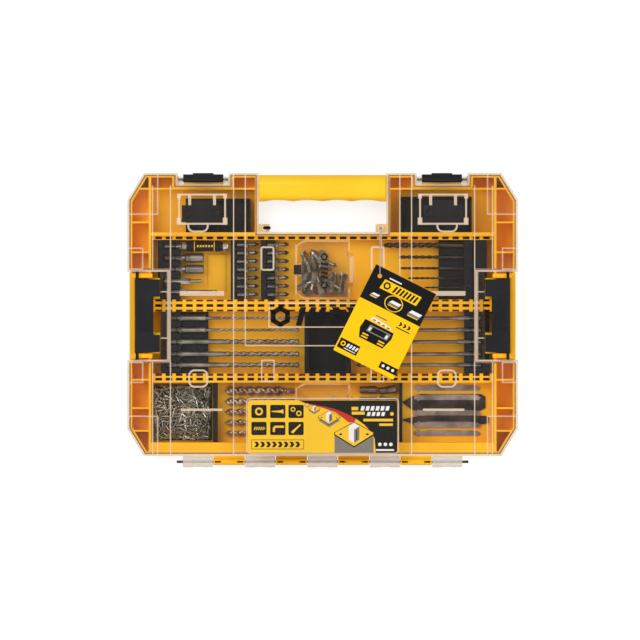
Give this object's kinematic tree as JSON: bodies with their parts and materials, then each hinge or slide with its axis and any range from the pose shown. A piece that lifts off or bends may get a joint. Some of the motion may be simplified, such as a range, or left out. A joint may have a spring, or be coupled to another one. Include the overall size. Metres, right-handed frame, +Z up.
{
  "type": "drill bit case",
  "caption": "Shallow carry case lying on its back: tray with hinged clear lid, grip, four latches, racks of driver bits, drills and saw blades, small lidded boxes and a string tag",
  "frame": {"origin": "ground level under the middle of the case's outline box", "axes": "+Z up through the lid, +Y towards the grip, +X to the right seen from above; the lid's hinge runs along X at the -Y edge"},
  "size_m": [0.44, 0.3326, 0.0705],
  "materials": {
    "yellow_plastic": "satin moulded",
    "black_plastic": "fine matt texture",
    "bright_steel": "ground steel",
    "dark_steel": "black oxide",
    "zinc_steel": "zinc plated",
    "bronze_steel": "bronze oxide",
    "clear_plastic": "clear moulded polycarbonate",
    "box_plastic": "frosted clear moulded plastic",
    "label_paper": "printed card",
    "tag_card": "printed card",
    "cord": "twisted string"
  },
  "bodies": {
    "base": {"base_tray": "yellow_plastic", "carry_grip": "yellow_plastic", "rail_upper": "yellow_plastic", "rail_middle": "yellow_plastic", "rail_lower": "yellow_plastic", "hinge_strip": "yellow_plastic", "driver_rack": "black_plastic", "bit_holder_sleeve": "black_plastic", "bit_holder_shank": "bright_steel", "nut_drivers": "bright_steel", "shank_adapters": "bright_steel", "bit_rack_left": "black_plastic", "bit_rack_right": "black_plastic", "driver_bits_left": "bright_steel", "driver_bits_right": "bright_steel", "bit_box": "box_plastic", "loose_bits": "bright_steel", "drill_rack": "black_plastic", "twist_drills": "dark_steel", "masonry_rack": "black_plastic", "masonry_drills": "bright_steel", "middle_bin": "black_plastic", "long_bit_rack": "black_plastic", "long_bits": "bright_steel", "screw_divider": "black_plastic", "screws": "zinc_steel", "wood_drills": "bronze_steel", "parts_box": "box_plastic", "small_sockets": "dark_steel", "saw_divider": "black_plastic", "jigsaw_blades": "bright_steel", "saw_blades": "dark_steel", "accessory_tray_left": "black_plastic", "accessory_tray_right": "black_plastic"},
    "lid": {"lid_shell": "clear_plastic", "hinge_pins": "dark_steel", "latch_pins": "dark_steel", "label_card": "label_paper", "stack_catch_left": "black_plastic", "stack_catch_right": "black_plastic", "lock_hole_plug": "black_plastic", "swing_tag": "tag_card", "tag_loop": "cord", "loop_knot": "cord"},
    "front_latch_left": {"front_latch_left": "black_plastic"},
    "front_latch_right": {"front_latch_right": "black_plastic"},
    "side_latch_left": {"side_latch_left": "black_plastic"},
    "side_latch_right": {"side_latch_right": "black_plastic"},
    "bit_box_lid": {"bit_box_lid": "box_plastic"},
    "bit_box_latch": {"bit_box_latch": "black_plastic"},
    "parts_box_lid": {"parts_box_lid": "box_plastic"},
    "parts_box_latch": {"parts_box_latch": "black_plastic"}
  },
  "joints": [
    {"name": "lid_hinge", "type": "hinge", "parent": "base", "child": "lid", "pos_m": [0, -0.16, 0.034], "axis": [1, 0, 0], "range_deg": [0, 175]},
    {"name": "front_latch_left_hinge", "type": "hinge", "parent": "lid", "child": "front_latch_left", "pos_m": [-0.1348, 0.1587, 0.06], "axis": [1, 0, 0], "range_deg": [0, 110]},
    {"name": "front_latch_right_hinge", "type": "hinge", "parent": "lid", "child": "front_latch_right", "pos_m": [0.1348, 0.1587, 0.06], "axis": [1, 0, 0], "range_deg": [0, 110]},
    {"name": "side_latch_left_hinge", "type": "hinge", "parent": "base", "child": "side_latch_left", "pos_m": [-0.209, 0.0052, 0.059], "axis": [0, -1, 0], "range_deg": [0, 100]},
    {"name": "side_latch_right_hinge", "type": "hinge", "parent": "base", "child": "side_latch_right", "pos_m": [0.209, 0.0052, 0.059], "axis": [0, 1, 0], "range_deg": [0, 100]},
    {"name": "bit_box_lid_hinge", "type": "hinge", "parent": "base", "child": "bit_box_lid", "pos_m": [0.0334, 0.0574, 0.0247], "axis": [0, 1, 0], "range_deg": [0, 110]},
    {"name": "bit_box_latch_hinge", "type": "hinge", "parent": "bit_box_lid", "child": "bit_box_latch", "pos_m": [-0.0256, 0.0574, 0.0279], "axis": [0, 1, 0], "range_deg": [0, 55]},
    {"name": "parts_box_lid_hinge", "type": "hinge", "parent": "base", "child": "parts_box_lid", "pos_m": [0.0334, -0.1044, 0.0247], "axis": [0, 1, 0], "range_deg": [0, 110]},
    {"name": "parts_box_latch_hinge", "type": "hinge", "parent": "parts_box_lid", "child": "parts_box_latch", "pos_m": [-0.0256, -0.1044, 0.0279], "axis": [0, 1, 0], "range_deg": [0, 55]}
  ],
  "couplings": [
    {"joint": "bit_box_lid_hinge", "follows": "lid_hinge", "ratio": 0.6},
    {"joint": "parts_box_lid_hinge", "follows": "lid_hinge", "ratio": 0.6}
  ]
}
